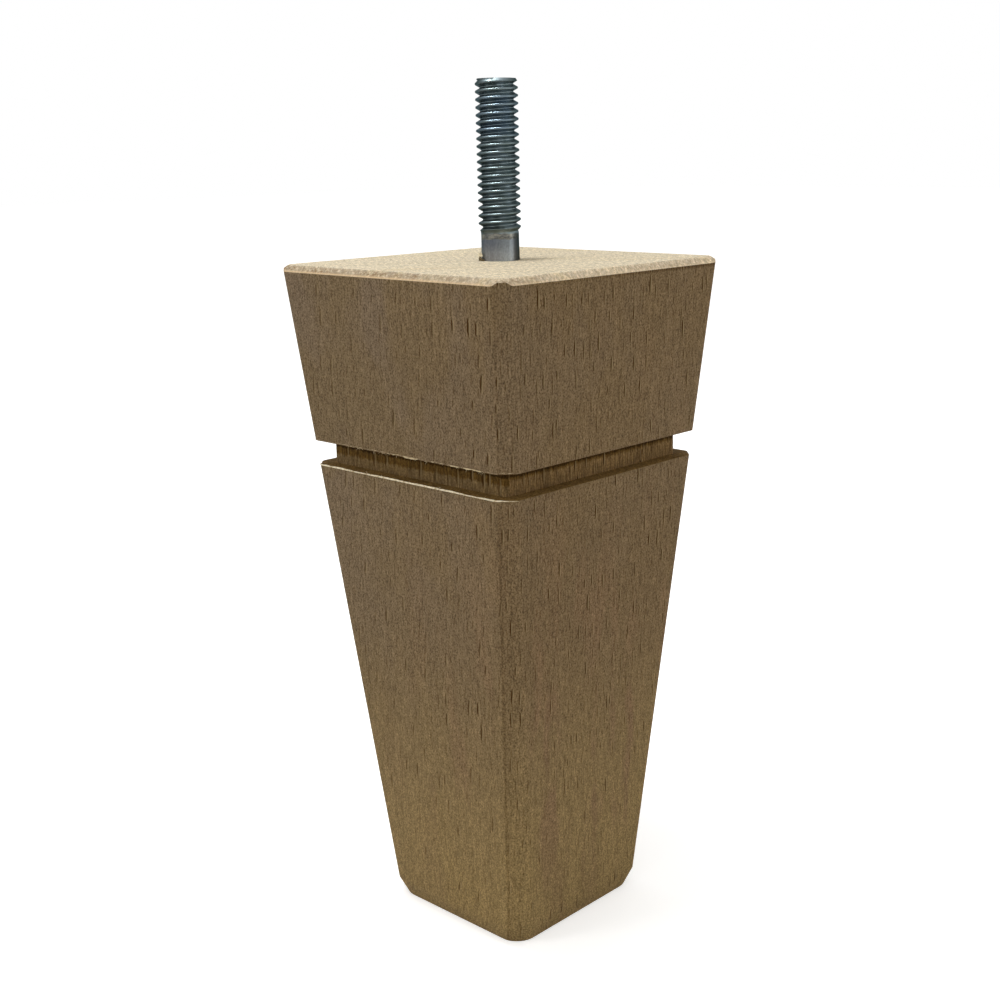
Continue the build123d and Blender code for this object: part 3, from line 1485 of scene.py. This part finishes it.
    def lip(self, lip: Lip, hair: bpy.types.Object, fibre: bpy.types.Material) -> bpy.types.Object:
        """Model one lip with its hairs.

        Args:
            lip: The lip.
            hair: The hair that is copied.
            fibre: The wood's material.

        Returns:
            The finished piece.
        """
        strip = self.strip(lip)
        half = self.leg.width(lip.level) / 2
        height = lip.level + lip.base + self.hair_height * lip.reach
        turned = math.pi if lip.reach < 0 else 0.0
        copies = []
        for _ in range(lip.hairs):
            root = Vector((-half, self.dice.uniform(*self.hair_along) * half, height))
            tilt = turned + math.radians(self.dice.uniform(-self.hair_lean, self.hair_lean))
            lean = Matrix.Rotation(tilt, 4, "X") @ Matrix.Rotation(self.dice.uniform(0, TURN), 4, "Z")
            length = self.dice.uniform(*self.hair_length) * lip.hair_length
            copies.append(self.plant(hair, root, lean, length))
        self.join(strip, copies)
        return self.finish(strip, fibre)

    def splinters(
        self, name: str, hair: bpy.types.Object, fibre: bpy.types.Material, rows: tuple[Splinter, ...]
    ) -> bpy.types.Object:
        """Model splinters that the bolt lifted out of the end grain beside it.

        Args:
            name: The piece's name.
            hair: The hair that is copied.
            fibre: The wood's material.
            rows: The splinters.

        Returns:
            The finished piece.
        """
        copies = []
        for row in rows:
            around = math.radians(row.bearing)
            outward = Vector((math.sin(around), -math.cos(around), 0))
            away = self.bolt_radius + self.hair_thick / 2 * row.girth
            root = outward * away + Vector((0, 0, self.leg.height + row.lift))
            aim = Matrix.Rotation(around - math.pi / 2, 4, "Z")
            lean = aim @ Matrix.Rotation(math.radians(row.lean), 4, "Y")
            copies.append(self.plant(hair, root, lean, row.length, row.girth))
        first, *others = copies
        first.name = name
        self.join(first, others)
        return self.finish(first, fibre)

    def finish(self, piece: bpy.types.Object, fibre: bpy.types.Material) -> bpy.types.Object:
        """Clean one piece and give it its material and body.

        Args:
            piece: The piece, all of one mesh.
            fibre: The wood's material.

        Returns:
            The same piece.
        """
        with editing(piece):
            bpy.ops.mesh.select_all(action="SELECT")
            bpy.ops.mesh.normals_make_consistent(inside=False)
        piece.data.materials.clear()
        piece.data.materials.append(fibre)
        shade(piece, self.crisp_angle)
        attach(piece, BODY)
        return piece

    def build(
        self, raw: bpy.types.Material, scuffed: bpy.types.Material, crumb_fibre_in_shade: bpy.types.Material
    ) -> list[bpy.types.Object]:
        """Model the burr, the hanging fibres and the splinters round the bolt.

        Args:
            raw: Freshly torn fibre.
            scuffed: Torn fibre that sanding has rubbed down.
            crumb_fibre_in_shade: Crushed fibre, painted dark as shade beside the bolt.

        Returns:
            The four pieces.
        """
        hair = self.hair(curl=0.05)
        splinter = self.hair(curl=0.0)
        pieces = [
            self.lip(
                Lip(
                    "groove_burr", self.leg.groove_bottom, base=-0.08, reach=0.29, ragged=0.5, jump=0.35,
                    hairs=9, hair_length=0.5,
                ),
                hair, raw,
            ),
            self.lip(
                Lip(
                    "torn_fibres", self.leg.groove_top, base=0.26, reach=-0.32, ragged=1.5, jump=0.6,
                    hairs=45, hair_length=0.4,
                ),
                hair, scuffed,
            ),
            self.splinters(
                "stud_flake", splinter, raw,
                (
                    Splinter(bearing=-122.0, lift=0.7, lean=5.0, length=0.8, girth=9.0),
                    Splinter(bearing=-110.0, lift=0.85, lean=8.0, length=0.6, girth=7.0),
                ),
            ),
            self.splinters(
                "stud_crumbs", splinter, crumb_fibre_in_shade,
                (
                    Splinter(bearing=-118.0, lift=-0.05, lean=4.0, length=0.9, girth=8.0),
                    Splinter(bearing=-109.0, lift=-0.05, lean=8.0, length=0.65, girth=7.0),
                    Splinter(bearing=-128.0, lift=-0.05, lean=10.0, length=0.6, girth=7.0),
                    Splinter(bearing=-100.0, lift=-0.05, lean=12.0, length=0.4, girth=6.0),
                ),
            ),
        ]
        for pattern in (hair, splinter):
            bpy.data.objects.remove(pattern)
        return pieces


@dataclass
class HangerBolt:
    """The bolt: a threaded stud above the wood and a plain lag end inside it.

    `crest_flat`, `crest_round` and `root_round` are shares of the pitch. The thread stops
    at `thread_end`, having faded into the shank between the two levels of its runout.
    What lies within `end_gather` above that cut is flattened onto it, and the welds merge
    points that are closer together than they say.
    """

    pitch: float = 25.4 / 18
    crest_flat: float = 0.1
    crest_round: float = 0.09
    root_round: float = 0.09
    stud_diameter: float = 7.94
    shank_radius: float = 3.55
    shank_foot_radius: float = 3.6
    lag_radius: float = 3.0
    lag_point: float = 7.0
    lag_tip_radius: float = 0.4
    shank_embed: float = 3.2
    thread_end: float = 131.3
    end_gather: float = 0.12
    end_weld: float = 0.04
    turn_weld: float = 0.005
    even_ring_drop: float = 0.05
    plain_drop: float = 0.6
    runout_low: float = 132.05
    runout_high: float = 133.4
    tip_radius: float = 3.62
    tip_slope: float = 0.6
    collar: float = 0.5
    first_left_crest: float = 159.29
    left_bearing: float = 135.0
    spare_turns: int = 3
    steps: int = 72
    crisp_angle: float = 38.0

    def __post_init__(self) -> None:
        """Read the bolt's ends from the frame."""
        low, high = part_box("hanger_bolt")
        self.tip = high.z / MM
        self.lag_tip = low.z / MM
        self.wood_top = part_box("leg_body")[1].z / MM
        self.crest_radius = self.stud_diameter / 2
        depth = math.sqrt(0.75) * (1 - self.crest_flat) - self.crest_round - self.root_round
        self.root_radius = self.crest_radius - depth * self.pitch

    def profile(self) -> list[tuple[float, float]]:
        """Give one pitch of the thread, from root to root, as (radius, height) points.

        Returns:
            Points whose last lies one pitch above the first.
        """
        crest_round = self.crest_round * self.pitch
        root_round = self.root_round * self.pitch

        def arc(
            centre: float, bottom: float, size: float, turns: tuple[int, ...]
        ) -> list[tuple[float, float]]:
            """Round off one root or crest, with turns in degrees from the radial direction."""
            angles = [math.radians(turn) for turn in turns]
            return [(bottom + size * (1 - math.cos(a)), centre + abs(size) * math.sin(a)) for a in angles]

        half_flat = self.crest_flat * self.pitch / 2
        return [
            *arc(0.0, self.root_radius, root_round, (0, 30, 60)),
            *arc(self.pitch / 2 - half_flat, self.crest_radius, -crest_round, (-60, -40, -20, 0)),
            *arc(self.pitch / 2 + half_flat, self.crest_radius, -crest_round, (0, 20, 40, 60)),
            *arc(self.pitch, self.root_radius, root_round, (-60, -30, 0)),
        ]

    def wind_thread(self) -> bpy.types.Object:
        """Draw one pitch of the profile and screw it up the stud.

        Returns:
            The open thread, a little longer than the stud at both ends.
        """
        points = self.profile()
        # The crest passes the left side of the photograph's view at the first crest's level
        lead_in = math.radians(self.left_bearing) / TURN * self.pitch
        turns = math.ceil((self.tip - self.thread_end) / self.pitch) + self.spare_turns
        start = self.first_left_crest - lead_in - (turns - 2) * self.pitch - self.pitch / 2
        bpy.ops.mesh.primitive_plane_add(size=MM, location=(0, 0, 0))
        bolt = bpy.context.active_object
        bolt.name = "plated_hanger_bolt"
        with editing(bolt):
            bpy.ops.mesh.select_all(action="SELECT")
            bpy.ops.mesh.merge(type="CENTER")
            radius, height = points[0]
            bpy.ops.transform.translate(value=(radius * MM, 0, (start + height) * MM))
            for (radius, height), (next_radius, next_height) in zip(points, points[1:]):
                step = ((next_radius - radius) * MM, 0, (next_height - height) * MM)
                bpy.ops.mesh.extrude_region_move(TRANSFORM_OT_translate={"value": step})
        apply_modifier(
            bolt, "SCREW", angle=TURN, screw_offset=self.pitch * MM, iterations=turns,
            steps=self.steps, render_steps=self.steps, axis="Z",
        )
        return bolt

    def limit_radius(self, bolt: bpy.types.Object) -> None:
        """Turn the thread's tip to a plain chamfered collar and fade it out above the shank.

        Args:
            bolt: The cut thread.
        """
        for vert in bolt.data.vertices:
            level = vert.co.z / MM
            radius = vert.co.xy.length / MM
            below_tip = self.tip - level
            solid = 1 - min(max(below_tip / self.collar, 0.0), 1.0)
            kept = max(radius, self.root_radius + (self.tip_radius - self.root_radius) * min(2 * solid, 1.0))
            kept = min(kept, self.tip_radius + self.tip_slope * below_tip, self.crest_radius)
            fade = (self.runout_high - level) / (self.runout_high - self.runout_low)
            fade = min(max(fade, 0.0), 1.0)
            # A smooth step, so that the runout has no corner at either end
            kept += (self.shank_radius - kept) * fade * fade * (3 - 2 * fade)
            vert.co.xy *= kept / radius

    def build(self, plate: bpy.types.Material) -> bpy.types.Object:
        """Model the bolt.

        Args:
            plate: The zinc-plated steel.

        Returns:
            The finished piece, which stands for the plain solid.
        """
        bolt = self.wind_thread()
        with editing(bolt):
            bpy.ops.mesh.select_all(action="SELECT")
            bpy.ops.mesh.remove_doubles(threshold=self.turn_weld * MM)
            bpy.ops.mesh.bisect(
                plane_co=(0, 0, self.tip * MM), plane_no=(0, 0, 1), clear_outer=True, use_fill=True,
                threshold=CUT_SLACK,
            )
        self.limit_radius(bolt)
        shoulder = (self.wood_top - self.shank_embed) * MM
        thread_end = self.thread_end * MM
        centre = (0, 0, thread_end)
        with editing(bolt):
            bpy.ops.mesh.select_all(action="SELECT")
            bpy.ops.mesh.bisect(
                plane_co=centre, plane_no=(0, 0, 1), clear_inner=True, use_fill=False, threshold=CUT_SLACK
            )
            gathered = (self.thread_end + self.end_gather) * MM
            select_where(bolt, Pick.VERTS, lambda vert: vert.co.z < gathered)
            bpy.ops.transform.resize(value=(1, 1, 0), center_override=centre)
            bpy.ops.mesh.select_all(action="SELECT")
            bpy.ops.mesh.remove_doubles(threshold=self.end_weld * MM)
            # The screw leaves an uneven ring, and an even one keeps streaks off the shank
            level = (self.thread_end - self.even_ring_drop) * MM
            bpy.ops.mesh.primitive_circle_add(
                vertices=self.steps, radius=self.shank_radius * MM, location=(0, 0, level),
                fill_type="NOTHING",
            )
            even, uneven = at_level(level), at_level(thread_end)
            select_where(bolt, Pick.EDGES, lambda edge: even(edge) or uneven(edge))
            bpy.ops.mesh.bridge_edge_loops()
            select_where(bolt, Pick.EDGES, even)
            for radius_ratio, bottom in (
                (1.0, (self.thread_end - self.plain_drop) * MM),
                (self.shank_foot_radius / self.shank_radius, self.wood_top * MM),
                (1.0, shoulder),
                (self.lag_radius / self.shank_foot_radius, shoulder),
                (1.0, (self.lag_tip + self.lag_point) * MM),
                (self.lag_tip_radius / self.lag_radius, self.lag_tip * MM),
            ):
                bpy.ops.mesh.extrude_region_move(TRANSFORM_OT_translate={"value": (0, 0, bottom - level)})
                if radius_ratio != 1.0:
                    bpy.ops.transform.resize(value=(radius_ratio, radius_ratio, 1), center_override=centre)
                level = bottom
            bpy.ops.mesh.edge_face_add()
            bpy.ops.mesh.select_all(action="SELECT")
            bpy.ops.mesh.normals_make_consistent(inside=False)
        bolt.data.materials.append(plate)
        shade(bolt, self.crisp_angle)
        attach(bolt, BODY)
        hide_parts("hanger_bolt")
        return bolt


@dataclass
class Viewpoint:
    """Where the camera stands and how it is held. Distances in millimetres, turns in degrees."""

    distance: float = 273.3
    height: float = 147.6
    round_leg: float = 45.03
    aside: float = 2.507
    tilt: float = -10.652
    roll: float = -1.01
    focal_px: float = 1447.9
    centre_x: float = 567.2
    centre_y: float = 419.6
    frame_px: float = 1000.0
    sensor_width: float = 36.0

    def build(self) -> None:
        """Set up the camera."""
        data = bpy.data.cameras.new("camera")
        data.sensor_width = self.sensor_width
        data.lens = data.sensor_width * self.focal_px / self.frame_px
        data.shift_x = (self.frame_px / 2 - self.centre_x) / self.frame_px
        data.shift_y = (self.centre_y - self.frame_px / 2) / self.frame_px
        data.clip_start, data.clip_end = 0.01, 100.0
        aside, tilt, roll = (math.radians(a) for a in (self.aside, self.tilt, self.roll))
        forward = Vector((math.sin(aside) * math.cos(tilt), math.cos(aside) * math.cos(tilt), math.sin(tilt)))
        level_right = forward.cross(Vector((0, 0, 1))).normalized()
        level_up = level_right.cross(forward)
        right = level_right * math.cos(roll) + level_up * math.sin(roll)
        up = level_up * math.cos(roll) - level_right * math.sin(roll)
        held = Matrix((right, up, -forward)).transposed().to_4x4()
        stand = Matrix.Translation((0, -self.distance * MM, self.height * MM))
        camera = bpy.data.objects.new("camera", data)
        bpy.context.scene.collection.objects.link(camera)
        camera.matrix_world = Matrix.Rotation(-math.radians(self.round_leg), 4, "Z") @ stand @ held
        bpy.context.scene.camera = camera


@dataclass(frozen=True)
class Lamp:
    """A soft box that faces a point on the leg. Its sizes are metres, its angles degrees.

    It is strong enough to add `share` of a surface's own colour at that point.
    """

    name: str
    azimuth: float
    elevation: float
    distance: float
    width: float
    height: float
    share: float
    gloss_only: bool = False

    def build(self, aim: Vector) -> None:
        """Hang the lamp.

        Args:
            aim: The point it faces.
        """
        data = bpy.data.lights.new(self.name, "AREA")
        data.shape = "RECTANGLE"
        data.size, data.size_y = self.width, self.height
        data.energy = self.share * math.pi**2 * self.distance**2
        lamp = bpy.data.objects.new(self.name, data)
        bpy.context.scene.collection.objects.link(lamp)
        round_leg, up = math.radians(self.azimuth), math.radians(self.elevation)
        level = Vector((math.sin(round_leg), -math.cos(round_leg), 0.0))
        away = level * math.cos(up) + Vector((0.0, 0.0, math.sin(up)))
        lamp.location = aim + away * self.distance
        lamp.rotation_euler = (-away).to_track_quat("-Z", "Y").to_euler()
        lamp.visible_camera = False
        lamp.visible_diffuse = not self.gloss_only


@dataclass
class Studio:
    """A plain pale floor, an even white surround, three soft boxes and a card.

    Only glossy metal sees the card, which gives the thread its glints. Sizes are metres.
    """

    surround: float = 0.7
    floor_glow: float = 0.5
    floor_size: float = 8.0
    floor_tone: str = "#F4F4F2"
    floor_roughness: float = 0.9
    white: str = "#FFFFFF"
    aim_height: float = 0.11

    def seen_directly(self, tree: bpy.types.NodeTree) -> bpy.types.NodeSocket:
        """Tell what the camera sees, straight on, by gloss or through glass.

        Args:
            tree: The node tree of the floor or the surround.

        Returns:
            A socket that is 1 for such light and 0 for the rest.
        """
        path = add_node(tree, "ShaderNodeLightPath")
        camera_or_gloss = add_node(
            tree, "ShaderNodeMath",
            {0: path.outputs["Is Camera Ray"], 1: path.outputs["Is Glossy Ray"]}, operation="MAXIMUM",
        )
        return add_node(
            tree, "ShaderNodeMath",
            {0: camera_or_gloss.outputs[0], 1: path.outputs["Is Transmission Ray"]}, operation="MAXIMUM",
        ).outputs[0]

    def world(self) -> None:
        """Light the leg evenly from all round, and show white behind it."""
        world = bpy.data.worlds.new("studio")
        bpy.context.scene.world = world
        world.use_nodes = True
        tree = world.node_tree
        tree.nodes.clear()
        seen = self.seen_directly(tree)
        level = add_node(tree, "ShaderNodeMapRange", {"Value": seen, "To Min": self.surround, "To Max": 1.0})
        light = add_node(
            tree, "ShaderNodeBackground", {"Color": linear(self.white), "Strength": level.outputs[0]}
        )
        add_node(tree, "ShaderNodeOutputWorld", {"Surface": light.outputs[0]})

    def floor(self) -> None:
        """Lay the floor: matt white board that glows a little where the camera sees it."""
        bpy.ops.mesh.primitive_plane_add(size=self.floor_size)
        floor = bpy.context.active_object
        floor.name = "floor"
        material, tree, shader = start_material("matt white board")
        shader.inputs["Base Color"].default_value = linear(self.floor_tone)
        shader.inputs["Roughness"].default_value = self.floor_roughness
        shader.inputs["Specular IOR Level"].default_value = 0.0
        glow = add_node(
            tree, "ShaderNodeMath", {0: self.seen_directly(tree), 1: self.floor_glow}, operation="MULTIPLY"
        )
        shader.inputs["Emission Color"].default_value = linear(self.white)
        tree.links.new(glow.outputs[0], shader.inputs["Emission Strength"])
        floor.data.materials.append(material)

    def build(self) -> None:
        """Set up floor, surround, lamps and colour management."""
        bpy.context.scene.view_settings.view_transform = "Standard"
        self.world()
        self.floor()
        aim = Vector((0.0, 0.0, self.aim_height))
        for lamp in (
            Lamp(
                "overhead_lamp", azimuth=-135.0, elevation=81.0, distance=0.9, width=0.1, height=0.14,
                share=0.32,
            ),
            Lamp(
                "glint_card", azimuth=-135.0, elevation=78.0, distance=0.9, width=0.25, height=0.36,
                share=7.0, gloss_only=True,
            ),
            Lamp(
                "left_lamp", azimuth=-112.0, elevation=30.0, distance=0.7, width=0.2, height=0.2, share=0.14
            ),
            Lamp(
                "right_lamp", azimuth=30.0, elevation=-3.0, distance=0.8, width=0.3, height=0.3, share=0.075
            ),
        ):
            lamp.build(aim)


def main() -> None:
    """Build the leg's pieces in order and set up the studio."""
    logging.basicConfig(level=logging.INFO, format="%(name)s: %(message)s")
    deselect_all()
    Studio().build()
    Viewpoint().build()
    wood = {
        Finish.SIDE: LongGrainBeech("sanded long-grain beech").build(),
        # The groove's walls: painted shade towards the upper lip, reaching further down the walls that face
        # left and right
        Finish.GROOVE: CutGrooveBeech(
            "groove beech with painted shade", top_tone="#7B623F", foot_tone="#7B623F", cool_tone="#775F3E",
            heart_tone="#7B623F", red_tone="#7D603B",
        ).build(),
        Finish.SCORCHED: CutGrooveBeech(
            "groove beech with deeper painted shade", top_tone="#77613F", foot_tone="#77613F", cool_tone="#735F43",
            heart_tone="#77613F", red_tone="#795F3A", rubbed=Fade(91.2, 91.8),
        ).build(),
        # The ledge under the upper block: end grain painted dark brown as shade
        Finish.LEDGE: EndGrainBeech(
            "end-grain beech painted dark as shade", tone="#755C34", ring_tone="#664D28", pore_tone="#3E2C14",
            speckle_swing=1.1,
        ).build(),
        Finish.END: EndGrainBeech("sanded end-grain beech").build(),
        Finish.RIM: ScuffedBevelBeech("bevelled end-grain beech").build(),
    }
    leg, bolt = LegBlank(), HangerBolt()
    pieces = [leg.build(wood), bolt.build(ZincPlate().build())]
    fibres = LooseFibres(leg, bolt.shank_foot_radius)
    pieces += fibres.build(
        TornFibre("raw torn beech").build(),
        TornFibre("rubbed-down torn beech", tone="#C2AE88", hollow_tone="#6F5D40").build(),
        # Crushed fibre beside the bolt, painted dark as shade
        TornFibre("crushed beech painted dark as shade", tone="#7A6C50", hollow_tone="#463A26").build(),
    )
    for piece in pieces:
        log.info("%s: %d faces", piece.name, len(piece.data.polygons))


if __name__ == "__main__":
    main()
